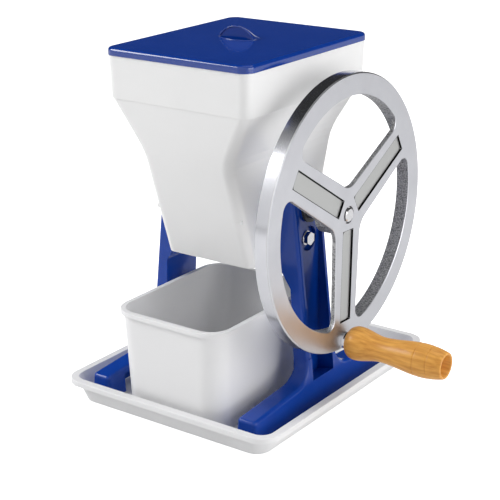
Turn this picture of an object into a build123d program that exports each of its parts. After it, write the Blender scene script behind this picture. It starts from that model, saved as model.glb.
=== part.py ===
from build123d import *
import math
import os

os.makedirs("parts", exist_ok=True)

# ------------------------------------------------------------------ driving dimensions, mm
# Origin: centre of the tray's underside. +X is the flywheel side, -Y the front, +Z up.

# drip tray; its outer sizes follow from the stands' feet
tray_side_gap = 7.4
tray_back_gap = 2.4
tray_height = 26.0
tray_wall = 2.6
tray_floor = 3.0
tray_lip = 6.5
tray_lip_drop = 6.0
tray_draft_x = 10.5
tray_draft_y = 5.5
tray_corner = 17.0

# ice bin: outer sizes over the lip; its foot stands bin_front_gap behind the tray's front wall
bin_width = 146.0
bin_depth = 192.0
bin_front_gap = 2.0
bin_height = 118.8
bin_wall = 2.4
bin_floor = 2.4
bin_lip = 3.6
bin_lip_drop = 5.0
bin_draft = 4.5
bin_corner = 25.0

# axle of rotor and flywheel
axle_y = -17.0
axle_z = 229.0

# hopper: half sizes of the outlet, the hip, the crease and the rim
hopper_wall = 3.0
hopper_neck_half_x = 58.0
outlet_z = 168.5
outlet_half_y = 60.7
hip_z = 291.0
hip_half_y = 100.5
hip_blend = 13.0
hip_steps = 3
hopper_top_z = 392.3
hopper_top_half_x = 91.7
hopper_top_half_y = 113.4
crease_z = 346.7
crease_taper = 2.1
crease_half_x = hopper_top_half_x - crease_taper
crease_half_y = hopper_top_half_y - crease_taper
crease_step = 0.8
hopper_corner = 11.0

# lid and its finger pull
lid_overhang = 1.1
lid_thickness = 8.0
lid_edge_radius = 3.5
lid_corner = 13.0
lid_skirt_depth = 7.0
lid_skirt_wall = 2.5
lid_skirt_clearance = 0.8
pull_width = 45.0
pull_height = 13.2
pull_depth = 17.0
pull_side_offset = -4.0
pull_back_width = 34.0
pull_back_height = 2.0
dish_reach = 8.5
dish_depth = 3.5

# stands: profile across the machine (x) and along it (half lengths from the axle plane)
stand_half_depth = 27.5
stand_top_z = 265.5
stand_outer_low_x = 110.5
stand_outer_low_z = 42.0
stand_outer_top_x = 86.4
stand_inner_low_x = 89.5
stand_inner_low_z = 62.0
stand_waist_x = 85.0
stand_waist_z = 142.0
stand_shoulder_x = 73.0
stand_shoulder_z = 160.0
stand_head_z = 186.0
web_outer_x = 90.0
web_thickness = 4.0
flange_thickness = 7.0
head_wall = 5.0
channel_floor_z = 33.0
channel_floor_rise = 8.0
foot_centre_x = 100.0
foot_width = 28.0
foot_reach = 122.0
foot_toe = 12.5
foot_tip_z = 31.9
foot_root_z = 40.5
foot_draft_angle = 5.0
foot_root_fillet = 24.0
foot_corner = 7.0
stand_edge_radius = 4.0
foot_wall = 5.0
foot_hollow_z = 27.0
foot_pad_height = 3.0
foot_pad_diameter = 22.0
foot_pad_block = 16.0
pad_spigot_diameter = 8.0
pad_spigot_length = 6.0

# bearings
journal_diameter = 16.0
running_clearance = 0.05
bush_diameter = 22.0
bush_flange_diameter = 32.0
bush_flange_thickness = 3.0
bearing_boss_diameter = 34.0
bearing_pad_height = 1.0
seal_diameter = 30.0
seal_clearance = 0.4
bush_end_gap = 0.5

# stand bolts, one below and one above the axle
bolt_below = 35.5
bolt_above = 26.0
bolt_diameter = 8.0
bolt_clearance = 0.2
bolt_end_x = 47.0
bolt_boss_wall = 2.5
bolt_head_flats = 13.0
bolt_head_height = 5.3
bolt_washer_diameter = 15.6
bolt_washer_thickness = 1.6
bolt_seat_x = 86.0
low_bolt_well_diameter = 28.0
high_bolt_well_diameter = 17.0
nut_height = 5.0
plate_thickness = 2.0
plate_width = 48.0
plate_margin = 11.0
plate_bore = 38.0

# rotor: hexagon shaft, breaker discs and spacers
rotor_half_length = 53.0
hex_flats = 16.2
hex_clearance = 0.05
disc_count = 6
disc_pitch = 17.0
disc_thickness = 6.0
disc_core_radius = 27.0
disc_tip_radius = 40.0
disc_teeth = 5
tooth_back_angle = 38.0
tooth_tip_angle = 43.0
tooth_root_angle = 47.0
spacer_radius = 17.0
thrust_washer_diameter = 26.0
thrust_washer_thickness = 1.5

# combs that the discs pass through
comb_thickness = 4.0
comb_half_width = 52.5
comb_reach = 26.5
comb_wall_gap = 1.2
comb_slot_clearance = 1.25
comb_tip_clearance = 2.5
ledge_thickness = 4.0
ledge_depth = 13.0
comb_screw_x = 34.0
comb_screw_diameter = 5.0
comb_screw_head_diameter = 9.0
comb_screw_head_height = 2.6

# flywheel
wheel_radius = 150.0
wheel_face_x = 140.0
rim_width = 23.0
rim_depth = 15.0
rim_bevel = 1.2
web_plate = 5.0
spoke_width_hub = 48.0
spoke_width_rim = 40.0
spoke_turn = -1.85
window_rim_fillet = 11.0
window_hub_fillet = 22.0
window_bevel = 0.6
pocket_depth = 1.6
pocket_width = 20.0
pocket_start = 17.0
pocket_end = 119.0
pocket_fillet = 4.0
hub_diameter = 46.0
hub_back_x = 112.0
hub_seat_diameter = 14.0
hub_well_diameter = 19.0
hub_well_depth = 3.5
key_width = 5.0
key_length = 16.0
key_end_gap = 3.0
key_shaft_depth = 3.0
hub_washer_thickness = 1.5
hub_bolt_head_diameter = 15.0
hub_bolt_head_height = 3.6
hub_bolt_bevel = 1.0
hub_bolt_diameter = 8.0
hub_bolt_length = 20.0
hub_washer_clearance = 0.4
axial_gap = 0.3
hub_spacer_diameter = 24.0
collar_diameter = 28.0
collar_length = 9.0
collar_screw_diameter = 5.0
collar_screw_sink = 0.6
shaft_overhang = 2.0

# crank pin and turned grip
pin_radius = 140.5
pin_diameter = 10.0
pin_collar_diameter = 18.0
pin_collar_length = 3.0
pin_hex_flats = 15.0
pin_hex_length = 3.5
pin_tail = 8.0
pin_nut_height = 6.5
pin_thread_diameter = 8.0
grip_gap = 0.5
grip_length = 116.5
grip_bulb_radius = 18.5
grip_bulb_at = 11.0
grip_neck_radius = 13.6
grip_neck_at = 41.0
grip_swell_radius = 18.1
grip_swell_at = 90.0
grip_end_radius = 14.6
grip_root_radius = 11.5
grip_bore_radius = 11.5
grip_bore_depth = 47.5
grip_clearance = 0.08
grip_washer_diameter = 20.0
grip_washer_thickness = 1.5
grip_nut_flats = 13.0
grip_nut_height = 6.5
pin_end_beyond = 1.0

# ------------------------------------------------------------------ derived places
hopper_inner_x = hopper_neck_half_x - hopper_wall
boss_face_x = web_outer_x + bearing_pad_height
flange_face_x = boss_face_x + bush_flange_thickness
wheel_back_x = wheel_face_x - rim_depth
rim_inner_radius = wheel_radius - rim_width
hub_well_x = wheel_face_x - hub_well_depth
stand_base_z = tray_floor + foot_pad_height
foot_end = foot_reach + foot_toe
tray_half_width = foot_centre_x + foot_width / 2 + tray_side_gap + tray_wall + tray_draft_x + tray_lip
tray_half_depth = foot_end - axle_y + tray_back_gap + tray_wall + tray_draft_y + tray_lip
tray_wall_foot_y = tray_half_depth - tray_lip - tray_draft_y - tray_wall
bin_front_y = bin_front_gap - tray_wall_foot_y - bin_draft - bin_lip
spoke_angles = [30 + spoke_turn, 150 + spoke_turn, 270 + spoke_turn]
pin_angle = math.radians(spoke_angles[2])
pin_y = axle_y + pin_radius * math.cos(pin_angle)
pin_z = axle_z + pin_radius * math.sin(pin_angle)
grip_x = wheel_face_x + pin_collar_length + pin_hex_length + grip_gap
grip_seat_x = grip_x + grip_length - grip_bore_depth
disc_places = [(i - (disc_count - 1) / 2) * disc_pitch for i in range(disc_count)]
bolt_heights = (axle_z - bolt_below, axle_z + bolt_above)
plate_x = hopper_inner_x - plate_thickness


def across(x, y=axle_y, z=axle_z):
    """Plane square to the axle at station x: local x runs to +Y, local y to +Z."""
    return Plane(origin=(x, y, z), x_dir=(0, 1, 0), z_dir=(1, 0, 0))


def level(z, y=0.0):
    """Horizontal plane at height z, centred on y."""
    return Plane(origin=(0, y, z))


def side_view(x=0.0):
    """Plane seen from the flywheel side, centred on the axle plane with z = 0 on the table."""
    return Plane(origin=(x, axle_y, 0), x_dir=(0, 1, 0), z_dir=(1, 0, 0))


def front_view(y=axle_y):
    """Plane seen from the front: local x is +X, local y is +Z."""
    return Plane(origin=(0, y, 0), x_dir=(1, 0, 0), z_dir=(0, -1, 0))


def moulded_vessel(centre_y, z_low, height, top, draft, wall, floor, corner, lip, lip_drop):
    """Open drafted vessel with a turned-over lip; top is the (x, y) size over the lip."""
    z_high = z_low + height
    wall_x, wall_y = top[0] - 2 * lip, top[1] - 2 * lip
    floor_share = 1 - floor / height
    with BuildPart() as vessel:
        with BuildSketch(level(z_low, centre_y)):
            RectangleRounded(wall_x - 2 * draft[0], wall_y - 2 * draft[1], corner)
        with BuildSketch(level(z_high, centre_y)):
            RectangleRounded(wall_x, wall_y, corner)
        loft(ruled=True)
        with BuildSketch(level(z_low + floor, centre_y)):
            RectangleRounded(
                wall_x - 2 * draft[0] * floor_share - 2 * wall,
                wall_y - 2 * draft[1] * floor_share - 2 * wall,
                corner - wall,
            )
        with BuildSketch(level(z_high, centre_y)):
            RectangleRounded(wall_x - 2 * wall, wall_y - 2 * wall, corner - wall)
        loft(ruled=True, mode=Mode.SUBTRACT)
        with BuildSketch(level(z_high - lip_drop, centre_y)):
            RectangleRounded(top[0], top[1], corner + lip)
            RectangleRounded(wall_x - wall, wall_y - wall, corner - wall / 2, mode=Mode.SUBTRACT)
        extrude(amount=lip_drop)
        with BuildSketch(level(z_high - lip_drop, centre_y)):
            RectangleRounded(top[0] - 2 * wall, top[1] - 2 * wall, corner + lip - wall)
            RectangleRounded(wall_x, wall_y, corner, mode=Mode.SUBTRACT)
        extrude(amount=lip_drop - wall, mode=Mode.SUBTRACT)
        rim_face = vessel.faces().sort_by(Axis.Z)[-1]
        fillet(rim_face.outer_wire().edges(), radius=wall * 0.45)
    return vessel


# ------------------------------------------------------------------ drip tray
tray = moulded_vessel(
    0.0, 0.0, tray_height, (2 * tray_half_width, 2 * tray_half_depth), (tray_draft_x, tray_draft_y),
    tray_wall, tray_floor, tray_corner, tray_lip, tray_lip_drop,
)
tray.part.label = "tray"
export_step(tray.part, "parts/tray.step")

# ------------------------------------------------------------------ ice bin
ice_bin = moulded_vessel(
    bin_front_y + bin_depth / 2, tray_floor, bin_height, (bin_width, bin_depth), (bin_draft, bin_draft),
    bin_wall, bin_floor, bin_corner, bin_lip, bin_lip_drop,
)
ice_bin.part.label = "ice_bin"
export_step(ice_bin.part, "parts/ice_bin.step")


# ------------------------------------------------------------------ hopper
def funnel_sections(inset):
    """(z, half x, half y, corner) of the funnel from the outlet to the crease, hip softly rounded."""
    low = (hip_z - hip_blend, hopper_neck_half_x, half_depth(hip_z - hip_blend))
    rise = hip_blend / (crease_z - hip_z)
    high = (
        hip_z + hip_blend,
        hopper_neck_half_x + rise * (crease_half_x - hopper_neck_half_x),
        hip_half_y + rise * (crease_half_y - hip_half_y),
    )
    middle = (hip_z, hopper_neck_half_x, hip_half_y)
    sections = [(outlet_z, hopper_neck_half_x, outlet_half_y)]
    for i in range(hip_steps + 1):
        t = i / hip_steps
        blend = [
            (1 - t) ** 2 * a + 2 * t * (1 - t) * b + t ** 2 * c
            for a, b, c in zip(low, middle, high)
        ]
        sections.append(tuple(blend))
    sections.append((crease_z, crease_half_x, crease_half_y))
    return [(z, x - inset, y - inset, hopper_corner - inset) for z, x, y in sections]


def half_depth(z):
    """Outer half depth of the hopper's neck at height z."""
    share = (z - outlet_z) / (hip_z - outlet_z)
    return outlet_half_y + share * (hip_half_y - outlet_half_y)


def box_sections(inset):
    """(z, half x, half y, corner) of the near-upright box above the crease."""
    return [
        (crease_z, crease_half_x + crease_step - inset, crease_half_y + crease_step - inset,
         hopper_corner - inset),
        (hopper_top_z, hopper_top_half_x - inset, hopper_top_half_y - inset, hopper_corner - inset),
    ]


ledge_top_z = axle_z - comb_thickness / 2
ledge_low_z = ledge_top_z - ledge_thickness
ledge_back = half_depth(ledge_low_z) - hopper_wall / 2
with BuildPart() as hopper:
    for sections in (funnel_sections(0.0), box_sections(0.0)):
        for z, half_x, half_y, corner in sections:
            with BuildSketch(level(z, axle_y)):
                RectangleRounded(2 * half_x, 2 * half_y, corner)
        loft(ruled=True)
    for sections in (funnel_sections(hopper_wall), box_sections(hopper_wall)):
        for z, half_x, half_y, corner in sections:
            with BuildSketch(level(z, axle_y)):
                RectangleRounded(2 * half_x, 2 * half_y, corner)
        loft(ruled=True, mode=Mode.SUBTRACT)
    # shelves for the combs, moulded on the front and back walls
    with BuildSketch(level(ledge_low_z, axle_y)):
        with Locations((0, ledge_back - ledge_depth / 2), (0, ledge_depth / 2 - ledge_back)):
            Rectangle(2 * hopper_inner_x + hopper_wall, ledge_depth)
    extrude(amount=ledge_thickness)
    # comb screws
    with BuildSketch(level(ledge_low_z, axle_y)):
        with GridLocations(2 * comb_screw_x, 2 * ledge_back - ledge_depth, 2, 2):
            Circle(comb_screw_diameter / 2)
    extrude(amount=ledge_thickness, mode=Mode.SUBTRACT)
    # shaft seals and stand bolts
    with BuildSketch(across(-hopper_neck_half_x)):
        Circle(seal_diameter / 2)
        with Locations((0, -bolt_below), (0, bolt_above)):
            Circle(bolt_diameter / 2)
    extrude(amount=2 * hopper_neck_half_x, mode=Mode.SUBTRACT)
hopper.part.label = "hopper"
export_step(hopper.part, "parts/hopper.step")

# ------------------------------------------------------------------ lid with finger pull
lid_top_z = hopper_top_z + lid_thickness
skirt_half_x = hopper_top_half_x - hopper_wall - lid_skirt_clearance
skirt_half_y = hopper_top_half_y - hopper_wall - lid_skirt_clearance
lid_width = 2 * (hopper_top_half_x + lid_overhang)
lid_depth = 2 * (hopper_top_half_y + lid_overhang)
pull_plane = Plane(origin=(pull_side_offset, axle_y, lid_top_z), x_dir=(-1, 0, 0), z_dir=(0, 1, 0))
dish_radius = ((pull_width / 2) ** 2 + dish_reach ** 2) / (2 * dish_reach)
with BuildPart() as lid:
    with BuildSketch(level(hopper_top_z, axle_y)):
        RectangleRounded(lid_width, lid_depth, lid_corner)
    extrude(amount=lid_thickness)
    fillet(lid.edges().group_by(Axis.Z)[-1], radius=lid_edge_radius)
    with BuildSketch(level(hopper_top_z, axle_y)):
        RectangleRounded(2 * skirt_half_x, 2 * skirt_half_y, hopper_corner - hopper_wall)
        RectangleRounded(
            2 * (skirt_half_x - lid_skirt_wall), 2 * (skirt_half_y - lid_skirt_wall),
            hopper_corner - hopper_wall - lid_skirt_wall, mode=Mode.SUBTRACT,
        )
    extrude(amount=-lid_skirt_depth)
    # shallow dish for the finger, its back part filled again by the hood
    for depth in (dish_depth, 0.0):
        with BuildSketch(level(lid_top_z - depth, axle_y)):
            with Locations((pull_side_offset, dish_radius - dish_reach)):
                Circle(dish_radius - depth)
            with Locations((pull_side_offset, dish_depth - dish_radius)):
                Rectangle(pull_width - 2 * depth, 2 * dish_radius, mode=Mode.INTERSECT)
    loft(ruled=True, mode=Mode.SUBTRACT)
    # hood of the pull: a bow that sinks away to the back
    for distance, width, height in (
        (0.0, pull_width, pull_height), (pull_depth, pull_back_width, pull_back_height),
    ):
        with BuildSketch(pull_plane.offset(distance)):
            with BuildLine():
                bow = ThreePointArc((width / 2, 0), (0, height), (-width / 2, 0))
                Polyline(bow @ 1, (-width / 2, -dish_depth), (width / 2, -dish_depth), bow @ 0)
            make_face()
    loft(ruled=True)
lid.part.label = "lid"
export_step(lid.part, "parts/lid.step")

# ------------------------------------------------------------------ stands
# The column leans outward to the foot; its head reaches in to the hopper's side wall.
web_inner_x = web_outer_x - web_thickness
foot_outer_x = foot_centre_x + foot_width / 2
column_top = stand_top_z - stand_half_depth
foot_gusset_z = foot_root_z + foot_root_fillet
beyond = foot_outer_x + flange_thickness
column_profile = [
    (stand_outer_low_x, foot_hollow_z),
    (stand_outer_low_x, stand_outer_low_z),
    (stand_outer_top_x, stand_top_z),
    (hopper_neck_half_x, stand_top_z),
    (hopper_neck_half_x, stand_head_z),
    (stand_shoulder_x, stand_shoulder_z),
    (stand_waist_x, stand_waist_z),
    (stand_inner_low_x, stand_inner_low_z),
    (stand_inner_low_x, foot_hollow_z),
]
channel_profile = [
    (web_outer_x, channel_floor_z),
    (beyond, channel_floor_z + channel_floor_rise),
    (beyond, axle_z),
    (web_outer_x, axle_z),
]
hollow_profile = [
    (web_inner_x, stand_waist_z + 2 * head_wall),
    (stand_shoulder_x + head_wall / 2, stand_shoulder_z + head_wall),
    (hopper_neck_half_x, stand_head_z + head_wall),
    (hopper_neck_half_x, stand_top_z),
    (web_inner_x, stand_top_z),
]


def head_outline(inset):
    """Side outline of a stand's column: round head and upright sides."""
    with BuildSketch(side_view(0.0)) as outline:
        with Locations((0, column_top)):
            Circle(stand_half_depth - inset)
        with Locations((0, (column_top + stand_base_z) / 2)):
            Rectangle(2 * (stand_half_depth - inset), column_top - stand_base_z)
    return outline.sketch


with BuildPart() as column:
    with BuildSketch(front_view(axle_y + stand_half_depth)):
        with BuildLine():
            Polyline(*column_profile, close=True)
        make_face()
    extrude(amount=2 * stand_half_depth)
    extrude(head_outline(0.0), amount=beyond, mode=Mode.INTERSECT)
    outer_face = column.faces().filter_by(lambda f: f.normal_at().X > 0.9).sort_by(Axis.Z)[-1]
    fillet(outer_face.edges().filter_by(lambda e: e.center().Z > foot_gusset_z), radius=stand_edge_radius)
with BuildSketch(side_view(0.0)) as foot_outline:
    with BuildLine():
        Polyline(
            (-foot_end, stand_base_z), (-foot_end, foot_tip_z), (-stand_half_depth, foot_root_z),
            (-stand_half_depth, foot_gusset_z), (stand_half_depth, foot_gusset_z),
            (stand_half_depth, foot_root_z), (foot_end, foot_tip_z), (foot_end, stand_base_z), close=True,
        )
    make_face()
    fillet([v for v in foot_outline.vertices() if abs(v.Y - foot_root_z) < 0.01], foot_root_fillet)
with BuildPart() as foot:
    with BuildSketch(Plane(origin=(foot_centre_x, axle_y, stand_base_z))):
        RectangleRounded(foot_width, 2 * foot_end, foot_corner)
    extrude(amount=foot_gusset_z - stand_base_z, taper=foot_draft_angle)
    extrude(foot_outline.sketch, amount=beyond, mode=Mode.INTERSECT)
    above_hollow = foot.edges().filter_by(lambda e: e.bounding_box().min.Z > foot_hollow_z)
    fillet(above_hollow.filter_by(lambda e: e.bounding_box().min.Z < foot_root_z + stand_edge_radius),
           radius=stand_edge_radius)
with BuildPart() as head_hollow:
    with BuildSketch(front_view(axle_y + stand_half_depth)):
        with BuildLine():
            Polyline(*hollow_profile, close=True)
        make_face()
    extrude(amount=2 * stand_half_depth)
    extrude(head_outline(head_wall), amount=beyond, mode=Mode.INTERSECT)
    # bosses left standing in the hollow: bearing, lower bolt, upper bolt
    with BuildSketch(across(hopper_neck_half_x)):
        Circle(bearing_boss_diameter / 2)
        with Locations((0, -bolt_below)):
            Circle(low_bolt_well_diameter / 2 + bolt_boss_wall)
        with Locations((0, bolt_above)):
            Circle(high_bolt_well_diameter / 2 + bolt_boss_wall)
    extrude(amount=beyond, mode=Mode.SUBTRACT)
with BuildPart() as stand_right:
    add(foot.part)
    add(column.part)
    # open channel in the outer side, hollow head towards the hopper
    with BuildSketch(front_view(axle_y + stand_half_depth - flange_thickness)):
        with BuildLine():
            Polyline(*channel_profile, close=True)
        make_face()
    extrude(amount=2 * (stand_half_depth - flange_thickness), mode=Mode.SUBTRACT)
    add(head_hollow.part, mode=Mode.SUBTRACT)
    # arms hollow from the inner side, between the blocks over the pads
    with BuildSketch(level(stand_base_z, axle_y)):
        with Locations(((foot_outer_x - foot_wall) / 2, 0)):
            Rectangle(foot_outer_x - foot_wall, 2 * (foot_reach - foot_pad_block))
    extrude(amount=foot_hollow_z - stand_base_z, mode=Mode.SUBTRACT)
    # bearing boss, then bores
    with BuildSketch(across(web_inner_x)):
        Circle(bearing_boss_diameter / 2)
    extrude(amount=boss_face_x - web_inner_x)
    with BuildSketch(across(hopper_neck_half_x)):
        Circle(bush_diameter / 2)
        with Locations((0, -bolt_below), (0, bolt_above)):
            Circle(bolt_diameter / 2 + bolt_clearance)
    extrude(amount=beyond, mode=Mode.SUBTRACT)
    with BuildSketch(across(bolt_seat_x)):
        with Locations((0, -bolt_below)):
            Circle(low_bolt_well_diameter / 2)
        with Locations((0, bolt_above)):
            Circle(high_bolt_well_diameter / 2)
    extrude(amount=beyond - bolt_seat_x, mode=Mode.SUBTRACT)
    with BuildSketch(Plane(origin=(foot_centre_x, axle_y, stand_base_z))):
        with Locations((0, -foot_reach), (0, foot_reach)):
            Circle(pad_spigot_diameter / 2)
    extrude(amount=pad_spigot_length + axial_gap, mode=Mode.SUBTRACT)
stand_right.part.label = "stand_right"
export_step(stand_right.part, "parts/stand_right.step")

with BuildPart() as stand_left:
    add(stand_right.part.mirror(Plane.YZ))
stand_left.part.label = "stand_left"
export_step(stand_left.part, "parts/stand_left.step")

with BuildPart() as foot_pads:
    with BuildSketch(level(tray_floor, axle_y)):
        with GridLocations(2 * foot_centre_x, 2 * foot_reach, 2, 2):
            Circle(foot_pad_diameter / 2)
    extrude(amount=foot_pad_height)
    with BuildSketch(level(stand_base_z, axle_y)):
        with GridLocations(2 * foot_centre_x, 2 * foot_reach, 2, 2):
            Circle(pad_spigot_diameter / 2)
    extrude(amount=pad_spigot_length)
foot_pads.part.label = "foot_pads"
export_step(foot_pads.part, "parts/foot_pads.step")


# ------------------------------------------------------------------ bearings and seals
with BuildPart() as bush_right:
    with BuildSketch(across(hopper_neck_half_x + bush_end_gap)):
        Circle(bush_diameter / 2)
    extrude(amount=boss_face_x - hopper_neck_half_x - bush_end_gap)
    with BuildSketch(across(boss_face_x)):
        Circle(bush_flange_diameter / 2)
    extrude(amount=bush_flange_thickness)
    with BuildSketch(across(hopper_neck_half_x)):
        Circle(journal_diameter / 2 + running_clearance)
    extrude(amount=beyond, mode=Mode.SUBTRACT)
bush_right.part.label = "bush_right"
export_step(bush_right.part, "parts/bush_right.step")

with BuildPart() as bush_left:
    add(bush_right.part.mirror(Plane.YZ))
bush_left.part.label = "bush_left"
export_step(bush_left.part, "parts/bush_left.step")

with BuildPart() as shaft_seals:
    for x in (-hopper_neck_half_x, hopper_inner_x):
        with BuildSketch(across(x)):
            Circle(seal_diameter / 2)
            Circle(journal_diameter / 2 + seal_clearance, mode=Mode.SUBTRACT)
        extrude(amount=hopper_wall)
shaft_seals.part.label = "shaft_seals"
export_step(shaft_seals.part, "parts/shaft_seals.step")

# ------------------------------------------------------------------ stand bolts, washers, nuts and plates
bolt_head_x = bolt_seat_x + bolt_washer_thickness
bolt_places = [(0, -bolt_below), (0, bolt_above)]


def hexagon(flats):
    """Hexagon by its size across flats, one flat upward."""
    RegularPolygon(flats / 2, 6, major_radius=False, rotation=30)


with BuildPart() as stand_bolts:
    for start in (bolt_head_x, -bolt_head_x - bolt_head_height):
        with BuildSketch(across(start)):
            with Locations(*bolt_places):
                hexagon(bolt_head_flats)
        extrude(amount=bolt_head_height)
    for start in (bolt_end_x, -bolt_head_x):
        with BuildSketch(across(start)):
            with Locations(*bolt_places):
                Circle(bolt_diameter / 2)
        extrude(amount=bolt_head_x - bolt_end_x)
stand_bolts.part.label = "stand_bolts"
export_step(stand_bolts.part, "parts/stand_bolts.step")


def washer_ring(outer_diameter, hole_diameter):
    """Flat ring."""
    Circle(outer_diameter / 2)
    Circle(hole_diameter / 2, mode=Mode.SUBTRACT)


def nut_ring(flats, hole_diameter):
    """Hexagon with a round hole."""
    hexagon(flats)
    Circle(hole_diameter / 2, mode=Mode.SUBTRACT)


with BuildPart() as stand_bolt_washers:
    for start in (bolt_seat_x, -bolt_head_x):
        for y, z in bolt_places:
            with BuildSketch(across(start, axle_y + y, axle_z + z)):
                washer_ring(bolt_washer_diameter, bolt_diameter)
            extrude(amount=bolt_washer_thickness)
stand_bolt_washers.part.label = "stand_bolt_washers"
export_step(stand_bolt_washers.part, "parts/stand_bolt_washers.step")

with BuildPart() as stand_nuts:
    for start in (plate_x - nut_height, -plate_x):
        for y, z in bolt_places:
            with BuildSketch(across(start, axle_y + y, axle_z + z)):
                nut_ring(bolt_head_flats, bolt_diameter)
            extrude(amount=nut_height)
stand_nuts.part.label = "stand_nuts"
export_step(stand_nuts.part, "parts/stand_nuts.step")

with BuildPart() as backing_plates:
    for start in (plate_x, -hopper_inner_x):
        with BuildSketch(across(start)):
            with Locations((0, (bolt_above - bolt_below) / 2)):
                RectangleRounded(plate_width, bolt_above + bolt_below + 2 * plate_margin, plate_margin)
            Circle(plate_bore / 2, mode=Mode.SUBTRACT)
            with Locations(*bolt_places):
                Circle(bolt_diameter / 2 + bolt_clearance, mode=Mode.SUBTRACT)
        extrude(amount=plate_thickness)
backing_plates.part.label = "backing_plates"
export_step(backing_plates.part, "parts/backing_plates.step")

# ------------------------------------------------------------------ combs on the hopper's ledges
comb_edge = half_depth(ledge_top_z) - hopper_wall - comb_wall_gap
comb_screw_y = ledge_back - ledge_depth / 2
slot_bottom = disc_tip_radius + comb_tip_clearance


def comb(side):
    """Slotted plate beside the rotor; side is -1 for the front, 1 for the rear."""
    with BuildPart() as plate:
        with BuildSketch(level(ledge_top_z, axle_y)) as outline:
            with Locations((0, side * (comb_edge + comb_reach) / 2)):
                Rectangle(2 * comb_half_width, comb_edge - comb_reach)
            wall_corners = [v for v in outline.vertices() if abs(abs(v.Y) - comb_edge) < 0.01]
            fillet(wall_corners, hopper_corner - hopper_wall)
            with Locations(*[(x, side * (comb_reach + slot_bottom) / 2) for x in disc_places]):
                Rectangle(
                    disc_thickness + 2 * comb_slot_clearance, slot_bottom - comb_reach,
                    mode=Mode.SUBTRACT,
                )
            with Locations((-comb_screw_x, side * comb_screw_y), (comb_screw_x, side * comb_screw_y)):
                Circle(comb_screw_diameter / 2, mode=Mode.SUBTRACT)
        extrude(amount=comb_thickness)
    return plate


comb_front = comb(-1)
comb_front.part.label = "comb_front"
export_step(comb_front.part, "parts/comb_front.step")
comb_rear = comb(1)
comb_rear.part.label = "comb_rear"
export_step(comb_rear.part, "parts/comb_rear.step")

with BuildPart() as comb_screws:
    with BuildSketch(level(ledge_low_z, axle_y)):
        with GridLocations(2 * comb_screw_x, 2 * comb_screw_y, 2, 2):
            Circle(comb_screw_diameter / 2)
    extrude(amount=ledge_thickness + comb_thickness)
    with BuildSketch(level(ledge_top_z + comb_thickness, axle_y)):
        with GridLocations(2 * comb_screw_x, 2 * comb_screw_y, 2, 2):
            Circle(comb_screw_head_diameter / 2)
    extrude(amount=comb_screw_head_height)
comb_screws.part.label = "comb_screws"
export_step(comb_screws.part, "parts/comb_screws.step")

# ------------------------------------------------------------------ drive shaft and rotor
shaft_left_x = -(flange_face_x + axial_gap + collar_length + shaft_overhang)
shaft_right_x = hub_well_x - axial_gap
key_bottom = hub_seat_diameter / 2 - key_shaft_depth
key_x = hub_back_x + key_end_gap
with BuildPart() as drive_shaft:
    with BuildSketch(across(shaft_left_x)):
        Circle(journal_diameter / 2)
    extrude(amount=hub_back_x - shaft_left_x)
    with BuildSketch(across(-rotor_half_length)):
        hexagon(hex_flats)
    extrude(amount=2 * rotor_half_length)
    with BuildSketch(across(hub_back_x)):
        Circle(hub_seat_diameter / 2)
    extrude(amount=shaft_right_x - hub_back_x)
    with BuildSketch(across(key_x)):
        with Locations((0, key_bottom + key_width / 2)):
            Rectangle(key_width, key_width)
    extrude(amount=key_length, mode=Mode.SUBTRACT)
    with BuildSketch(across(shaft_right_x)):
        Circle(hub_bolt_diameter / 2)
    extrude(amount=-hub_bolt_length, mode=Mode.SUBTRACT)
drive_shaft.part.label = "drive_shaft"
export_step(drive_shaft.part, "parts/drive_shaft.step")


def at(angle, radius):
    """Point of a disc's outline by angle in degrees and radius."""
    return radius * math.cos(math.radians(angle)), radius * math.sin(math.radians(angle))


# Five hooked teeth: a long back up to the tip, a short land, then an undercut cutting face.
tooth_pitch = 360 / disc_teeth
hexagon_bore = hex_flats / 2 + hex_clearance
for number, centre_x in enumerate(disc_places, start=1):
    turn = 60 * number
    with BuildPart() as breaker_disc:
        with BuildSketch(across(centre_x - disc_thickness / 2)):
            with BuildLine():
                for tooth in range(disc_teeth):
                    start = turn + tooth * tooth_pitch
                    back = Line(at(start, disc_core_radius), at(start + tooth_back_angle, disc_tip_radius))
                    land = Line(back @ 1, at(start + tooth_tip_angle, disc_tip_radius))
                    face = Line(land @ 1, at(start + tooth_root_angle, disc_core_radius))
                    middle = start + (tooth_root_angle + tooth_pitch) / 2
                    ThreePointArc(
                        face @ 1, at(middle, disc_core_radius), at(start + tooth_pitch, disc_core_radius)
                    )
            make_face()
            RegularPolygon(hexagon_bore, 6, major_radius=False, rotation=30, mode=Mode.SUBTRACT)
        extrude(amount=disc_thickness)
    breaker_disc.part.label = f"breaker_disc_{number}"
    export_step(breaker_disc.part, f"parts/breaker_disc_{number}.step")

spacer_ends = [-rotor_half_length]
for centre_x in disc_places:
    spacer_ends += [centre_x - disc_thickness / 2, centre_x + disc_thickness / 2]
spacer_ends.append(rotor_half_length)
with BuildPart() as disc_spacers:
    for low_x, high_x in zip(spacer_ends[0::2], spacer_ends[1::2]):
        with BuildSketch(across(low_x)):
            Circle(spacer_radius)
            RegularPolygon(hexagon_bore, 6, major_radius=False, rotation=30, mode=Mode.SUBTRACT)
        extrude(amount=high_x - low_x)
disc_spacers.part.label = "disc_spacers"
export_step(disc_spacers.part, "parts/disc_spacers.step")

journal_bore = journal_diameter + 2 * running_clearance
with BuildPart() as thrust_washers:
    for x in (rotor_half_length, -rotor_half_length - thrust_washer_thickness):
        with BuildSketch(across(x)):
            washer_ring(thrust_washer_diameter, journal_bore)
        extrude(amount=thrust_washer_thickness)
thrust_washers.part.label = "thrust_washers"
export_step(thrust_washers.part, "parts/thrust_washers.step")

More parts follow.
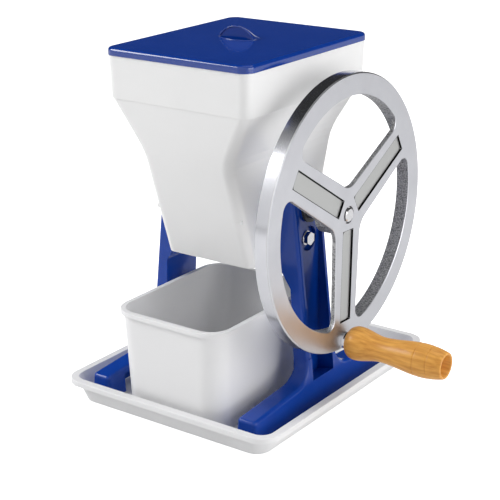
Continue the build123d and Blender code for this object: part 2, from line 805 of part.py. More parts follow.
with BuildPart() as hub_spacer:
    with BuildSketch(across(flange_face_x + axial_gap)):
        washer_ring(hub_spacer_diameter, journal_bore)
    extrude(amount=hub_back_x - flange_face_x - axial_gap)
hub_spacer.part.label = "hub_spacer"
export_step(hub_spacer.part, "parts/hub_spacer.step")

collar_x = -flange_face_x - axial_gap - collar_length
screw_plane = Plane(origin=(collar_x + collar_length / 2, axle_y, axle_z))
with BuildPart() as shaft_collar:
    with BuildSketch(across(collar_x)):
        washer_ring(collar_diameter, journal_bore)
    extrude(amount=collar_length)
    with BuildSketch(screw_plane):
        Circle(collar_screw_diameter / 2)
    extrude(amount=collar_diameter, mode=Mode.SUBTRACT)
shaft_collar.part.label = "shaft_collar"
export_step(shaft_collar.part, "parts/shaft_collar.step")

with BuildPart() as collar_screw:
    with BuildSketch(screw_plane.offset(journal_diameter / 2)):
        Circle(collar_screw_diameter / 2)
    extrude(amount=(collar_diameter - journal_diameter) / 2 - collar_screw_sink)
collar_screw.part.label = "collar_screw"
export_step(collar_screw.part, "parts/collar_screw.step")

# ------------------------------------------------------------------ flywheel
def radius_of(vertex):
    """Distance of a sketch's corner from the axle."""
    return math.hypot(vertex.X, vertex.Y)


with BuildSketch(across(hub_back_x)) as windows:
    Circle(rim_inner_radius)
    for angle in spoke_angles:
        with Locations(Location((0, 0), angle)):
            Polygon(
                (0, -spoke_width_hub / 2), (wheel_radius, -spoke_width_rim / 2),
                (wheel_radius, spoke_width_rim / 2), (0, spoke_width_hub / 2),
                align=None, mode=Mode.SUBTRACT,
            )
    fillet([v for v in windows.vertices() if radius_of(v) < rim_inner_radius / 2], window_hub_fillet)
    fillet([v for v in windows.vertices() if radius_of(v) > rim_inner_radius - 0.01], window_rim_fillet)

with BuildPart() as flywheel:
    with BuildSketch(across(wheel_face_x - web_plate)):
        Circle(wheel_radius)
    extrude(amount=web_plate)
    with BuildSketch(across(wheel_back_x)):
        Circle(wheel_radius)
        Circle(rim_inner_radius, mode=Mode.SUBTRACT)
    extrude(amount=rim_depth)
    with BuildSketch(across(hub_back_x)):
        Circle(hub_diameter / 2)
    extrude(amount=wheel_face_x - hub_back_x)
    extrude(windows.sketch, amount=wheel_face_x - hub_back_x, mode=Mode.SUBTRACT)
    front_face = flywheel.faces().sort_by(Axis.X)[-1]
    window_edges = [edge for wire in front_face.inner_wires() for edge in wire.edges()]
    chamfer(front_face.outer_wire().edges(), length=rim_bevel)
    chamfer(window_edges, length=window_bevel)
    # shallow pocket along each spoke
    with BuildSketch(across(wheel_face_x)):
        for angle in spoke_angles:
            with Locations(Location((0, 0), angle)):
                with Locations(((pocket_start + pocket_end) / 2, 0)):
                    RectangleRounded(pocket_end - pocket_start, pocket_width, pocket_fillet)
    extrude(amount=-pocket_depth, mode=Mode.SUBTRACT)
    # hub well, seat, keyway and the hole for the crank pin
    with BuildSketch(across(hub_well_x)):
        Circle(hub_well_diameter / 2)
    extrude(amount=hub_well_depth, mode=Mode.SUBTRACT)
    with BuildSketch(across(hub_back_x)):
        Circle(hub_seat_diameter / 2)
        with Locations((0, (key_bottom + key_width) / 2)):
            Rectangle(key_width, key_bottom + key_width)
    extrude(amount=wheel_face_x - hub_back_x, mode=Mode.SUBTRACT)
    with BuildSketch(across(wheel_back_x, pin_y, pin_z)):
        Circle(pin_diameter / 2)
    extrude(amount=rim_depth, mode=Mode.SUBTRACT)
flywheel.part.label = "flywheel"
export_step(flywheel.part, "parts/flywheel.step")

with BuildPart() as wheel_key:
    with BuildSketch(across(key_x)):
        with Locations((0, key_bottom + key_width / 2)):
            Rectangle(key_width, key_width)
    extrude(amount=key_length)
wheel_key.part.label = "wheel_key"
export_step(wheel_key.part, "parts/wheel_key.step")

with BuildPart() as hub_washer:
    with BuildSketch(across(hub_well_x)):
        washer_ring(hub_well_diameter - 2 * hub_washer_clearance, hub_bolt_diameter)
    extrude(amount=hub_washer_thickness)
hub_washer.part.label = "hub_washer"
export_step(hub_washer.part, "parts/hub_washer.step")

hub_bolt_head_x = hub_well_x + hub_washer_thickness
with BuildPart() as hub_bolt:
    with BuildSketch(across(hub_bolt_head_x)):
        Circle(hub_bolt_head_diameter / 2)
    extrude(amount=hub_bolt_head_height)
    chamfer(hub_bolt.edges().sort_by(Axis.X)[-1], length=hub_bolt_bevel)
    with BuildSketch(across(hub_bolt_head_x)):
        Circle(hub_bolt_diameter / 2)
    extrude(amount=axial_gap - hub_bolt_length)
hub_bolt.part.label = "hub_bolt"
export_step(hub_bolt.part, "parts/hub_bolt.step")

# ------------------------------------------------------------------ crank pin and its nut
pin_shoulder_x = grip_seat_x + axial_gap
grip_nut_x = pin_shoulder_x + grip_washer_thickness
collar_face_x = wheel_face_x + pin_collar_length
with BuildPart() as crank_pin:
    with BuildSketch(across(wheel_back_x - pin_tail, pin_y, pin_z)):
        Circle(pin_thread_diameter / 2)
    extrude(amount=grip_nut_x + grip_nut_height + pin_end_beyond - wheel_back_x + pin_tail)
    with BuildSketch(across(wheel_back_x, pin_y, pin_z)):
        Circle(pin_diameter / 2)
    extrude(amount=pin_shoulder_x - wheel_back_x)
    with BuildSketch(across(wheel_face_x, pin_y, pin_z)):
        Circle(pin_collar_diameter / 2)
    extrude(amount=pin_collar_length)
    with BuildSketch(across(collar_face_x, pin_y, pin_z)):
        hexagon(pin_hex_flats)
    extrude(amount=pin_hex_length)
crank_pin.part.label = "crank_pin"
export_step(crank_pin.part, "parts/crank_pin.step")

with BuildPart() as crank_pin_nut:
    with BuildSketch(across(wheel_back_x - pin_nut_height, pin_y, pin_z)):
        nut_ring(pin_hex_flats, pin_thread_diameter)
    extrude(amount=pin_nut_height)
crank_pin_nut.part.label = "crank_pin_nut"
export_step(crank_pin_nut.part, "parts/crank_pin_nut.step")

with BuildPart() as grip_washer:
    with BuildSketch(across(pin_shoulder_x, pin_y, pin_z)):
        washer_ring(grip_washer_diameter, pin_thread_diameter)
    extrude(amount=grip_washer_thickness)
grip_washer.part.label = "grip_washer"
export_step(grip_washer.part, "parts/grip_washer.step")

with BuildPart() as grip_nut:
    with BuildSketch(across(grip_nut_x, pin_y, pin_z)):
        nut_ring(grip_nut_flats, pin_thread_diameter)
    extrude(amount=grip_nut_height)
grip_nut.part.label = "grip_nut"
export_step(grip_nut.part, "parts/grip_nut.step")

# ------------------------------------------------------------------ turned grip
# Half section in the plane of the pin: local x along the grip, local y outward from its axis.
grip_plane = Plane(origin=(grip_x, pin_y, pin_z), x_dir=(1, 0, 0), z_dir=(0, -1, 0))
grip_bore = pin_diameter / 2 + grip_clearance
with BuildPart() as handle_grip:
    with BuildSketch(grip_plane):
        with BuildLine():
            nose_rise = grip_bulb_radius - grip_root_radius
            halfway = math.sqrt(0.5)
            nose_middle = (grip_bulb_at * (1 - halfway), grip_root_radius + nose_rise * halfway)
            ThreePointArc((0, grip_root_radius), nose_middle, (grip_bulb_at, grip_bulb_radius))
            swell = (grip_swell_at, grip_swell_radius)
            neck = (grip_neck_at, grip_neck_radius)
            for start, end in (((grip_bulb_at, grip_bulb_radius), neck), (neck, swell)):
                middle = ((start[0] + end[0]) / 2, (start[1] + end[1]) / 2)
                TangentArc(start, middle, tangent=(1, 0))
                TangentArc(end, middle, tangent=(-1, 0))
            tail = TangentArc(swell, (grip_length, grip_end_radius), tangent=(1, 0))
            Polyline(
                tail @ 1, (grip_length, grip_bore_radius), (grip_length - grip_bore_depth, grip_bore_radius),
                (grip_length - grip_bore_depth, grip_bore), (0, grip_bore), (0, grip_root_radius),
            )
        make_face()
    revolve(axis=Axis((grip_x, pin_y, pin_z), (1, 0, 0)))
handle_grip.part.label = "handle_grip"
export_step(handle_grip.part, "parts/handle_grip.step")
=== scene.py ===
import bmesh
import bpy
import math
from mathutils import Matrix, Vector
from types import SimpleNamespace


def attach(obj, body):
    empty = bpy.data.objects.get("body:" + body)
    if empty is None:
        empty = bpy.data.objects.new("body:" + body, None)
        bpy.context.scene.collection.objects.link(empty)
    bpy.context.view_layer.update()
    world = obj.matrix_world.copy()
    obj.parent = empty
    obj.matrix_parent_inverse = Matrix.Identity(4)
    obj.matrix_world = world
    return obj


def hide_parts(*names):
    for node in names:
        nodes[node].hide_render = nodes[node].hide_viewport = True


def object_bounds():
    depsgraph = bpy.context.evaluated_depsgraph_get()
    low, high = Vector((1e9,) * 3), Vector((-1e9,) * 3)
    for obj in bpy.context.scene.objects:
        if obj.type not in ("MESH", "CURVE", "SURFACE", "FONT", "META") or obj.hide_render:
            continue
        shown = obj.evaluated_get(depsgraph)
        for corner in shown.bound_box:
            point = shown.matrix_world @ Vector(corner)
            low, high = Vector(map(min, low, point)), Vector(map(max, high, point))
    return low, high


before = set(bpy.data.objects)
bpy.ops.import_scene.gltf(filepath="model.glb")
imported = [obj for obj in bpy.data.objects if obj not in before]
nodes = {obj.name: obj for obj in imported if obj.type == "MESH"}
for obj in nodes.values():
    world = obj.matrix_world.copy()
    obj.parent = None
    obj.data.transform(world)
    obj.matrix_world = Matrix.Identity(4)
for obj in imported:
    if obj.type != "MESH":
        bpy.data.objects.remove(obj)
cad_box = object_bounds()

# Camera: stands at the photograph's place, a long lens looking down on the front right
# corner. Its angles are in degrees, its place and all other sizes in metres.
azimuth, elevation, roll = (math.radians(angle) for angle in (35.648, 19.302, -0.367))
eye = Vector((0.8551, -1.1926, 0.6712))
forward = Vector((
    -math.sin(azimuth) * math.cos(elevation),
    math.cos(azimuth) * math.cos(elevation),
    -math.sin(elevation),
))
level_right = Vector((math.cos(azimuth), math.sin(azimuth), 0))
level_up = level_right.cross(forward)
right = math.cos(roll) * level_right + math.sin(roll) * level_up
up = right.cross(forward)
camera = bpy.data.objects.new("camera", bpy.data.cameras.new("camera"))
bpy.context.scene.collection.objects.link(camera)
camera.data.sensor_width = 36.0
camera.data.lens = 98.79
camera.data.clip_end = 20.0
camera.matrix_world = Matrix.Translation(eye) @ Matrix((right, up, -forward)).transposed().to_4x4()
bpy.context.scene.camera = camera

# Floor: a wide white sheet of matt paper, level under the tray. It glows a little to the
# camera and in polished metal, so it stays white round the machine's shadow.
bpy.context.scene.view_settings.view_transform = "Standard"
floor_half_width = 6.0
floor_gap = 0.0002
glow_to_camera, glow_to_metal = 0.70, 0.10


def add_node(tree, kind, inputs=None, **settings):
    """A shader node with its settings, and a value or a link at each of the given inputs."""
    node = tree.nodes.new(kind)
    for setting, value in settings.items():
        setattr(node, setting, value)
    for socket, value in (inputs or {}).items():
        if isinstance(value, bpy.types.NodeSocket):
            tree.links.new(value, node.inputs[socket])
        else:
            node.inputs[socket].default_value = value
    return node


def worked_out(tree, operation, *values):
    """Result of one sum or comparison of values."""
    return add_node(tree, "ShaderNodeMath", dict(enumerate(values)), operation=operation).outputs[0]


def object_from(shape, name, material):
    """An object of one material from a mesh in the making."""
    mesh = bpy.data.meshes.new(name)
    shape.to_mesh(mesh)
    shape.free()
    mesh.materials.append(material)
    made = bpy.data.objects.new(name, mesh)
    bpy.context.scene.collection.objects.link(made)
    return made


studio_paper = bpy.data.materials.new("studio_paper")
studio_paper.use_nodes = True
tree = studio_paper.node_tree
shader = tree.nodes["Principled BSDF"]
shader.inputs["Roughness"].default_value = 0.9
shader.inputs["Specular IOR Level"].default_value = 0.1
shader.inputs["Base Color"].default_value = (0.86, 0.86, 0.86, 1)
shader.inputs["Emission Color"].default_value = (1, 1, 1, 1)
ray = add_node(tree, "ShaderNodeLightPath").outputs
seen_glow = worked_out(tree, "MULTIPLY", ray["Is Camera Ray"], glow_to_camera)
glow = worked_out(tree, "MULTIPLY_ADD", ray["Is Glossy Ray"], glow_to_metal, seen_glow)
tree.links.new(glow, shader.inputs["Emission Strength"])
shape = bmesh.new()
bmesh.ops.create_grid(shape, x_segments=2, y_segments=2, size=floor_half_width)
floor = object_from(shape, "floor", studio_paper)
floor.location.z = cad_box[0][2] - floor_gap

# Surround: white to the camera, a pale fill to everything else, dimmer where the
# photographer stands. Polished things see a white sweep low down and to the front, and a
# darker room above and behind.
fill_bright, fill_dim = 0.72, 0.06
photographer_side = (0.64, -0.72, 0.27)
side_starts, side_full = 0.30, 0.95
sweep_white, room_dark = 0.95, 0.03
low_sweep, low_sweep_ends = 0.0, 0.16
front_sweep, front_sweep_ends = -0.70, 0.05


def ramp(tree, value, low, high, at_low=0.0, at_high=1.0, kind="LINEAR"):
    """Goes from at_low to at_high while value goes from low to high."""
    return add_node(tree, "ShaderNodeMapRange", {
        "Value": value, "From Min": low, "From Max": high, "To Min": at_low, "To Max": at_high,
    }, interpolation_type=kind).outputs[0]


surround = bpy.data.worlds.new("studio")
bpy.context.scene.world = surround
surround.use_nodes = True
tree = surround.node_tree
backdrop = tree.nodes["Background"]
backdrop.inputs["Color"].default_value = (1, 1, 1, 1)
ray = add_node(tree, "ShaderNodeLightPath").outputs
outward = add_node(tree, "ShaderNodeTexCoord").outputs["Generated"]
heading = add_node(tree, "ShaderNodeSeparateXYZ", {0: outward}).outputs
mirrored = worked_out(
    tree, "MAXIMUM",
    ramp(tree, heading["Z"], low_sweep, low_sweep_ends, sweep_white, room_dark, kind="SMOOTHSTEP"),
    ramp(tree, heading["Y"], front_sweep, front_sweep_ends, sweep_white, room_dark, kind="SMOOTHSTEP"),
)
toward = add_node(
    tree, "ShaderNodeVectorMath", {0: outward, 1: photographer_side}, operation="DOT_PRODUCT",
).outputs["Value"]
fill = ramp(tree, toward, side_starts, side_full, fill_bright, fill_dim)
strength = fill
for kind_of_ray, seen in (("Is Glossy Ray", mirrored), ("Is Camera Ray", 1.0)):
    strength = add_node(
        tree, "ShaderNodeMix", {"Factor": ray[kind_of_ray], "A": strength, "B": seen},
    ).outputs[0]
tree.links.new(strength, backdrop.inputs["Strength"])

# Lamps: three soft boxes. One above left draws the bright lines along the edges, a wide
# one fills from the right, and a weak one hangs overhead.
for name, place, aim, size, energy in (
    ("key_light", (-1.6, -1.2, 1.5), (0, 0, 0.2), 1.0, 28.0),
    ("right_light", (2.1, 0.0, 0.6), (0.1, -0.05, 0.15), 1.9, 32.0),
    ("top_light", (0.2, 0.6, 2.2), (0, 0, 0.2), 1.5, 8.0),
):
    lamp = bpy.data.lights.new(name, "AREA")
    lamp.size = size
    lamp.energy = energy
    lamp_object = bpy.data.objects.new(name, lamp)
    bpy.context.scene.collection.objects.link(lamp_object)
    lamp_object.location = place
    lamp_object.rotation_euler = (Vector(aim) - Vector(place)).to_track_quat("-Z", "Y").to_euler()


# Drip tray: one white moulding with a turned-over lip that stands on the table. Its skin
# is a little cloudy, and slightly dulled by wiping.
def finish(name, colours, patch, gloss, relief, metal=0.0, stretch=(1, 1, 1)):
    """Material of one finish, with the parts of it that later sections add to.

    It is clouded between two colours. patch is the size of a cloud, gloss the span of
    roughness, relief the size and height of the grain, and stretch draws clouds and grain
    out along an axis where it is below 1."""
    material = bpy.data.materials.new(name)
    material.use_nodes = True
    tree = material.node_tree
    shader = tree.nodes["Principled BSDF"]
    shader.inputs["Metallic"].default_value = metal
    place = add_node(tree, "ShaderNodeTexCoord").outputs
    along = add_node(tree, "ShaderNodeMapping", {"Vector": place["Object"], "Scale": stretch}).outputs[0]
    cloud, grain = (
        add_node(
            tree, "ShaderNodeTexNoise", {"Vector": along, "Scale": 1 / size, "Detail": detail},
        ).outputs["Fac"]
        for size, detail in ((patch, 4.0), (relief[0], 3.0))
    )
    tint = add_node(
        tree, "ShaderNodeMix", {0: cloud, 6: (*colours[0], 1), 7: (*colours[1], 1)}, data_type="RGBA",
    ).outputs[2]
    bump = add_node(tree, "ShaderNodeBump", {"Strength": 0.25, "Distance": relief[1], "Height": grain})
    tree.links.new(tint, shader.inputs["Base Color"])
    tree.links.new(ramp(tree, cloud, 0.0, 1.0, *gloss), shader.inputs["Roughness"])
    tree.links.new(bump.outputs[0], shader.inputs["Normal"])
    return SimpleNamespace(material=material, tree=tree, shader=shader, place=place, tint=tint)


def dress(look, *names):
    """Give CAD nodes one finish."""
    for name in names:
        nodes[name].data.materials.clear()
        nodes[name].data.materials.append(look.material)


tray_white = finish(
    "tray_white", ((0.80, 0.80, 0.81), (0.85, 0.85, 0.86)), patch=0.09, gloss=(0.30, 0.42),
    relief=(0.0012, 0.00008),
)
dress(tray_white, "tray")

# Ice bin: a thin white moulding with a turned-over rim, loose in the tray. It is a shade
# duller than the hopper, as a piece that is handled and washed most.
bin_white = finish(
    "bin_white", ((0.82, 0.82, 0.83), (0.86, 0.86, 0.865)), patch=0.07, gloss=(0.34, 0.48),
    relief=(0.0010, 0.00008),
)
dress(bin_white, "ice_bin")

# Hopper: a white moulding, funnel below and box above, held between the stands by four
# bolts. It is the smoothest of the white parts.
hopper_white = finish(
    "hopper_white", ((0.84, 0.84, 0.84), (0.88, 0.88, 0.88)), patch=0.12, gloss=(0.26, 0.36),
    relief=(0.0014, 0.00006),
)
dress(hopper_white, "hopper")

# Lid: deep blue glossy plastic with a finger pull, lying loose on the hopper. Its rounded
# edges and the pull shine more than the wiped flat top.
lid_blue = finish(
    "lid_blue", ((0.0015, 0.034, 0.250), (0.0024, 0.042, 0.310)), patch=0.05, gloss=(0.07, 0.12),
    relief=(0.0020, 0.000004),
)
lid_blue.shader.inputs["Specular IOR Level"].default_value = 0.25
lid_blue.shader.inputs["Coat Roughness"].default_value = 0.10
level_top, leaning_edge = 0.97, 0.70
tree = lid_blue.tree
tilt = add_node(tree, "ShaderNodeSeparateXYZ", {0: lid_blue.place["Normal"]}).outputs["Z"]
tree.links.new(ramp(tree, tilt, level_top, leaning_edge), lid_blue.shader.inputs["Coat Weight"])
dress(lid_blue, "lid")

# Finger pull: a raised half moon of the lid's own blue plastic, moulded on it and sinking
# away to the back. This smooth skin lies just over the solid's plainer form.
pull_x, pull_y, lid_top = -0.004, -0.017, 0.4003
pull_half, pull_rise, pull_run = 0.0225, 0.0132, 0.0170
skin_over = 0.0004
skin_narrows, skin_sinks, skin_belly = 0.0052, 0.0111, 1.7
skin_front, skin_back = 0.0002, 0.0004
root_depth = 0.0012
arc_count, arc_points = 13, 41
shape = bmesh.new()
arcs = []
for step in range(arc_count):
    t = step / (arc_count - 1)
    half = pull_half + skin_over - skin_narrows * t
    rise = pull_rise + skin_over - skin_sinks * t ** skin_belly
    radius = (half * half + rise * rise) / (2 * rise)
    spread = math.asin(min(1.0, half / radius))
    ring = []
    for i in range(arc_points):
        turn = spread * (2 * i / (arc_points - 1) - 1)
        ring.append(shape.verts.new((
            pull_x + radius * math.sin(turn),
            pull_y - skin_front + (pull_run + skin_front + skin_back) * t,
            lid_top + rise - radius * (1 - math.cos(turn)),
        )))
    arcs.append(ring)
for first, second in zip(arcs, arcs[1:]):
    for i in range(arc_points - 1):
        shape.faces.new((first[i], first[i + 1], second[i + 1], second[i])).smooth = True
roots = [
    [shape.verts.new((v.co.x, v.co.y, lid_top - root_depth)) for v in (ring[0], ring[-1])] for ring in arcs
]
for (upper, lower), (next_upper, next_lower) in zip(zip(arcs, roots), zip(arcs[1:], roots[1:])):
    shape.faces.new((upper[0], next_upper[0], next_lower[0], lower[0]))
    shape.faces.new((upper[-1], lower[-1], next_lower[-1], next_upper[-1]))
for end_arc, end_root in ((arcs[0], roots[0]), (arcs[-1], roots[-1])):
    shape.faces.new([*end_arc, end_root[1], end_root[0]])
shape.faces.new([pair[0] for pair in roots] + [pair[1] for pair in reversed(roots)])
bmesh.ops.recalc_face_normals(shape, faces=shape.faces)
finger_pull = object_from(shape, "finger_pull", lid_blue.material)
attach(finger_pull, "lid")

# Bead of the pull: a fine half-round line of the same blue plastic, moulded round the
# pull's bow and on round the shallow dish in front of it.
dish_run = 0.0085
bead_radius, bead_sides = 0.0007, 10
bow_out, dish_up = 0.0004, 0.0001
half_steps = 16
bow_radius = (pull_half ** 2 + pull_rise ** 2) / (2 * pull_rise)
bow_spread = math.asin(pull_half / bow_radius)
dish_radius = (pull_half ** 2 + dish_run ** 2) / (2 * dish_run)
dish_spread = math.asin(pull_half / dish_radius)
path = []
for i in range(2 * half_steps + 1):
    turn = bow_spread * (i / half_steps - 1)
    path.append(Vector((
        pull_x + bow_radius * math.sin(turn), pull_y - bow_out,
        lid_top + pull_rise - bow_radius * (1 - math.cos(turn)),
    )))
for i in range(1, 2 * half_steps):
    turn = dish_spread * (1 - i / half_steps)
    path.append(Vector((
        pull_x + dish_radius * math.sin(turn), pull_y - dish_run + dish_radius * (1 - math.cos(turn)),
        lid_top + dish_up,
    )))


def skin_loops(shape, loops):
    """Smooth faces between closed loops of points, the last one joined to the first."""
    for first, second in zip(loops, loops[1:] + loops[:1]):
        for i, j in zip(range(len(first)), [*range(1, len(first)), 0]):
            shape.faces.new((first[i], first[j], second[j], second[i])).smooth = True
    bmesh.ops.recalc_face_normals(shape, faces=shape.faces)


lean = Vector((0, -0.5, 1))
shape = bmesh.new()
loops = []
for i, point in enumerate(path):
    run = (path[(i + 1) % len(path)] - path[i - 1]).normalized()
    across = run.cross(lean).normalized()
    over = across.cross(run)
    loop = []
    for k in range(bead_sides):
        turn = 2 * math.pi * k / bead_sides
        outward = across * math.cos(turn) + over * math.sin(turn)
        loop.append(shape.verts.new(point + bead_radius * outward))
    loops.append(loop)
skin_loops(shape, loops)
pull_bead = object_from(shape, "pull_bead", lid_blue.material)
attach(pull_bead, "lid")

# Stands: iron castings under thick blue enamel, glossy, with the soft orange-peel of
# sprayed paint. Each stands on two rubber pads.
stand_blue = finish(
    "stand_blue", ((0.0020, 0.040, 0.29), (0.0034, 0.052, 0.37)), patch=0.03, gloss=(0.12, 0.20),
    relief=(0.0045, 0.00004),
)
stand_blue.shader.inputs["Specular IOR Level"].default_value = 0.20
stand_blue.shader.inputs["Coat Weight"].default_value = 0.25
stand_blue.shader.inputs["Coat Roughness"].default_value = 0.04
dress(stand_blue, "stand_left", "stand_right")

# Foot pads and shaft seals: black moulded rubber, matt and a little dusty. The pads plug
# into the feet, the seals sit in the hopper's side walls.
black_rubber = finish(
    "black_rubber", ((0.016, 0.016, 0.017), (0.030, 0.030, 0.031)), patch=0.010, gloss=(0.62, 0.80),
    relief=(0.0007, 0.00010),
)
dress(black_rubber, "foot_pads", "shaft_seals")

# Bearing bushes: flanged, turned from black nylon and pressed into the stands. Fine
# turning rings run round the axle.
black_nylon = finish(
    "black_nylon", ((0.020, 0.020, 0.022), (0.034, 0.034, 0.037)), patch=0.006, gloss=(0.36, 0.50),
    relief=(0.0005, 0.00005), stretch=(1, 0.3, 0.3),
)
dress(black_nylon, "bush_left", "bush_right")

# Fasteners: bright zinc plated steel. Stand bolts with their washers and nuts, comb and
# collar screws, hub bolt and washer, and the washer and nut in the grip's end.
bright_zinc = finish(
    "bright_zinc", ((0.60, 0.60, 0.62), (0.76, 0.76, 0.78)), patch=0.004, gloss=(0.14, 0.28),
    relief=(0.0006, 0.00004), metal=1.0,
)
dress(
    bright_zinc, "stand_bolts", "stand_bolt_washers", "stand_nuts", "comb_screws", "collar_screw",
    "hub_bolt", "hub_washer", "grip_washer", "grip_nut",
)

# Cutting gear: combs, breaker discs, their spacers and the backing plates, all stainless
# steel blanks with a rolled grain along the sheet.
stainless = finish(
    "stainless", ((0.50, 0.50, 0.51), (0.62, 0.62, 0.63)), patch=0.008, gloss=(0.24, 0.38),
    relief=(0.0006, 0.00004), metal=1.0, stretch=(1, 0.12, 1),
)
dress(
    stainless, "comb_front", "comb_rear", "disc_spacers", "backing_plates",
    *[f"breaker_disc_{number}" for number in range(1, 7)],
)

# Shaft, hub spacer, collar and key: ground steel, turned round the axle, so the grain is
# fine rings across their length.
ground_steel = finish(
    "ground_steel", ((0.44, 0.44, 0.45), (0.58, 0.58, 0.59)), patch=0.005, gloss=(0.20, 0.34),
    relief=(0.0004, 0.00003), metal=1.0, stretch=(1, 0.1, 0.1),
)
dress(ground_steel, "drive_shaft", "hub_spacer", "shaft_collar", "wheel_key")

# Thrust washers: turned bronze, a little browned with age. One sits at each end of the
# rotor's hexagon.
bronze = finish(
    "bronze", ((0.42, 0.24, 0.08), (0.60, 0.38, 0.15)), patch=0.004, gloss=(0.26, 0.40),
    relief=(0.0005, 0.00004), metal=1.0,
)
dress(bronze, "thrust_washers")

# Flywheel: a bright casting keyed on the shaft, polished outside and brushed on the front.
# Windows and back keep the dark cast skin. The spokes' hollows have a duller floor, and
# painted shade lies near-black along their walls and edges.
axle = (0.0, -0.017, 0.229)
face_x = 0.140
outside_starts, outside_full = 0.1478, 0.1486
facing_starts, facing_full = 0.55, 0.65
spoke_count, first_spoke = 3, math.radians(30 - 1.85)
hollow_middle, hollow_half_length, hollow_half_width = 0.068, 0.051, 0.010
floor_below, floor_full = 0.0006, 0.0012
cast_dark, cast_pale = (0.16, 0.16, 0.165, 1), (0.60, 0.60, 0.61, 1)
# painted shade: a near-black colour for a band running from just inside to just outside each hollow's
# outline
hollow_floor, painted_shade_black = (0.50, 0.505, 0.50, 1), (0.012, 0.012, 0.013, 1)
shade_band_inner, shade_band_outer = (-0.0011, -0.0008), (0.0002, 0.0004)
cast_grains_per_metre, rings_per_metre = 620.0, 900.0
cast_roughness, brushed_gloss, polished_gloss = 0.62, (0.26, 0.44), (0.12, 0.22)
cast_depth, ring_depth = 0.0004, 0.00003
wheel_metal = finish(
    "wheel_metal", ((0.54, 0.545, 0.58), (0.65, 0.655, 0.69)), patch=0.030, gloss=(0.16, 0.26),
    relief=(0.0009, 0.00005), metal=1.0,
)
tree = wheel_metal.tree


def blend(share, first, second):
    """Colour of the wheel that goes from first to second with share."""
    return add_node(tree, "ShaderNodeMix", {0: share, 6: first, 7: second}, data_type="RGBA").outputs[2]


def but_not(value):
    """1 where value is 0, and 0 where it is 1."""
    return worked_out(tree, "SUBTRACT", 1.0, value)


def past(half, distance):
    """How far a distance from the middle goes beyond half a width."""
    return worked_out(tree, "SUBTRACT", worked_out(tree, "ABSOLUTE", distance), half)


from_axle = add_node(
    tree, "ShaderNodeMapping", {"Vector": wheel_metal.place["Object"], "Location": [-a for a in axle]},
).outputs[0]
spot = add_node(tree, "ShaderNodeSeparateXYZ", {0: from_axle}).outputs
square_on = add_node(
    tree, "ShaderNodeVectorMath", {0: from_axle, 1: (0, 1, 1)}, operation="MULTIPLY",
).outputs[0]
reach = add_node(tree, "ShaderNodeVectorMath", {0: square_on}, operation="LENGTH").outputs["Value"]
facing = add_node(tree, "ShaderNodeSeparateXYZ", {0: wheel_metal.place["Normal"]}).outputs
on_outside = ramp(tree, reach, outside_starts, outside_full)
on_face = ramp(tree, facing["X"], facing_starts, facing_full)
machined = worked_out(tree, "MAXIMUM", on_outside, on_face)
# the nearest spoke's own lengthwise and sideways distances
angle = worked_out(tree, "ARCTAN2", spot["Z"], spot["Y"])
half_share = math.pi / spoke_count
off_spoke = worked_out(
    tree, "WRAP", worked_out(tree, "SUBTRACT", angle, first_spoke), half_share, -half_share,
)
out_along = worked_out(tree, "MULTIPLY", reach, worked_out(tree, "COSINE", off_spoke))
sideways = worked_out(tree, "MULTIPLY", reach, worked_out(tree, "SINE", off_spoke))
past_wall = worked_out(
    tree, "MAXIMUM", past(hollow_half_length, worked_out(tree, "SUBTRACT", out_along, hollow_middle)),
    past(hollow_half_width, sideways),
)
# painted shade: near-black along the walls and edges of each spoke's hollow
painted_shade_band = worked_out(
    tree, "MULTIPLY", ramp(tree, past_wall, *shade_band_inner), but_not(ramp(tree, past_wall, *shade_band_outer)),
)
in_hollow = worked_out(
    tree, "MULTIPLY", on_face, but_not(ramp(tree, spot["X"], face_x - floor_full, face_x - floor_below)),
)
skin = add_node(tree, "ShaderNodeTexNoise", {
    "Vector": wheel_metal.place["Object"], "Scale": cast_grains_per_metre, "Detail": 6.0,
}).outputs["Fac"]
skin_tint = add_node(tree, "ShaderNodeValToRGB", {0: skin})
for element, position, colour in zip(skin_tint.color_ramp.elements, (0.32, 0.70), (cast_dark, cast_pale)):
    element.position = position
    element.color = colour
bright = blend(in_hollow, wheel_metal.tint, hollow_floor)
colour = blend(painted_shade_band, blend(machined, skin_tint.outputs[0], bright), painted_shade_black)
rings = add_node(tree, "ShaderNodeTexNoise", {
    "W": reach, "Scale": rings_per_metre, "Detail": 4.0,
}, noise_dimensions="1D").outputs["Fac"]
away_from_face = add_node(tree, "ShaderNodeMix", {
    "Factor": on_outside, "A": cast_roughness, "B": ramp(tree, skin, 0.0, 1.0, *polished_gloss),
}).outputs[0]
roughness = add_node(tree, "ShaderNodeMix", {
    "Factor": on_face, "A": away_from_face, "B": ramp(tree, rings, 0.0, 1.0, *brushed_gloss),
}).outputs[0]
cast_bump = add_node(tree, "ShaderNodeBump", {
    "Strength": 0.5, "Distance": cast_depth,
    "Height": worked_out(tree, "MULTIPLY", skin, but_not(machined)),
}).outputs[0]
ring_bump = add_node(tree, "ShaderNodeBump", {
    "Strength": 0.25, "Distance": ring_depth,
    "Height": worked_out(tree, "MULTIPLY", rings, on_face), "Normal": cast_bump,
}).outputs[0]
for socket, value in (("Base Color", colour), ("Roughness", roughness), ("Normal", ring_bump)):
    tree.links.new(value, wheel_metal.shader.inputs[socket])
dress(wheel_metal, "flywheel")

# Crank pin and its nut: steel with mirror-bright plating. Collar and hexagon clamp the pin
# to the rim, the nut pulls it up from behind.
mirror_plate = finish(
    "mirror_plate", ((0.70, 0.70, 0.72), (0.82, 0.82, 0.84)), patch=0.006, gloss=(0.05, 0.12),
    relief=(0.0010, 0.00002), metal=1.0,
)
dress(mirror_plate, "crank_pin", "crank_pin_nut")

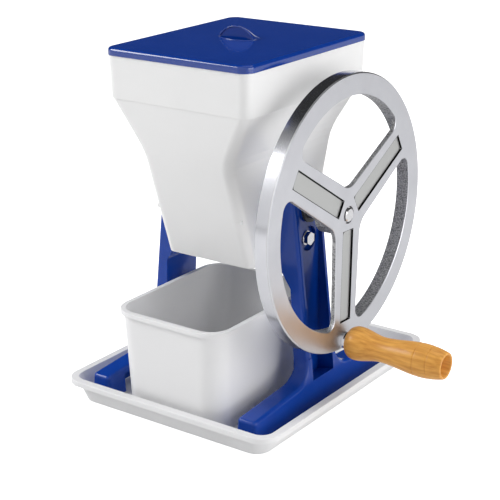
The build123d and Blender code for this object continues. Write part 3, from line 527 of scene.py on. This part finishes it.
# Crank grip: turned honey-coloured wood under varnish, loose on the pin. The grain runs
# along it, and the gouge left two fine grooves near the end.
grip_wood = finish(
    "grip_wood", ((0.40, 0.105, 0.008), (1.00, 0.550, 0.120)), patch=0.0032, gloss=(0.34, 0.46),
    relief=(0.0016, 0.00010), stretch=(0.10, 1, 1),
)
grip_wood.shader.inputs["Specular IOR Level"].default_value = 0.25
grip_wood.shader.inputs["Coat Weight"].default_value = 0.15
grip_wood.shader.inputs["Coat Roughness"].default_value = 0.12
grip_x, pin_y, pin_z = 0.147, axle[1] - 0.00454, axle[2] - 0.14043
bore_depth, bore_radius, pin_hole = 0.0475, 0.0115, 0.00508
collar_seat, bulb_start = 0.0108, 0.0115
bulb, neck, swell, end = (0.011, 0.0185), (0.041, 0.0136), (0.090, 0.0181), (0.1165, 0.0146)
rim_run, rim_drop, rim_break, bore_break = 0.0012, 0.0013, 0.0004, 0.0008
bulb_steps, hollow_steps, swell_steps, taper_steps = 8, 14, 20, 10
grooves, groove_half, groove_depth = (0.085, 0.100), 0.0007, 0.0006
groove_section = ((-2, 0), (-1, 0.15), (-0.4, 0.9), (0, 1), (0.4, 0.9), (1, 0.15), (2, 0))
rounds = 96


def eased(start, finish_at, count):
    """Points from one (distance, radius) to the next, on a curve that is level at both."""
    points = []
    for i in range(1, count + 1):
        t = i / count
        points.append((
            start[0] + t * (finish_at[0] - start[0]),
            start[1] + (finish_at[1] - start[1]) * (3 - 2 * t) * t * t,
        ))
    return points


def radius_at(distance):
    """Outer radius of the grip at a distance from its collar end, without its grooves."""
    for (s0, r0), (s1, r1) in zip(outside, outside[1:]):
        if s0 <= distance <= s1 and s1 > s0:
            return r0 + (r1 - r0) * (distance - s0) / (s1 - s0)


outside = []
for i in range(1, bulb_steps + 1):
    turn = math.pi / 2 * i / bulb_steps
    outside.append((bulb[0] * (1 - math.cos(turn)), bulb_start + (bulb[1] - bulb_start) * math.sin(turn)))
outside += eased(bulb, neck, hollow_steps) + eased(neck, swell, swell_steps)
for i in range(1, taper_steps + 1):
    t = i / taper_steps
    outside.append((swell[0] + t * (end[0] - rim_run - swell[0]), swell[1] - (swell[1] - end[1]) * t * t))
outside += [(end[0] - rim_break, end[1] - rim_break), (end[0], end[1] - rim_drop)]
grooved = [p for p in outside if all(abs(p[0] - groove) > 2 * groove_half for groove in grooves)]
for groove in grooves:
    for offset, depth in groove_section:
        distance = groove + offset * groove_half
        grooved.append((distance, radius_at(distance) - depth * groove_depth))
bore = [(end[0], bore_radius + bore_break), (end[0] - bore_break, bore_radius)]
bore += [(end[0] - bore_depth, bore_radius), (end[0] - bore_depth, pin_hole)]
shape = bmesh.new()
loops = []
for distance, radius in [(0.0, pin_hole), (0.0, collar_seat), *sorted(grooved), *bore]:
    loop = []
    for i in range(rounds):
        turn = 2 * math.pi * i / rounds
        loop.append(shape.verts.new((
            grip_x + distance, pin_y + radius * math.cos(turn), pin_z + radius * math.sin(turn),
        )))
    loops.append(loop)
skin_loops(shape, loops)
turned_grip = object_from(shape, "turned_grip", grip_wood.material)
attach(turned_grip, "grip")
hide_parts("handle_grip")
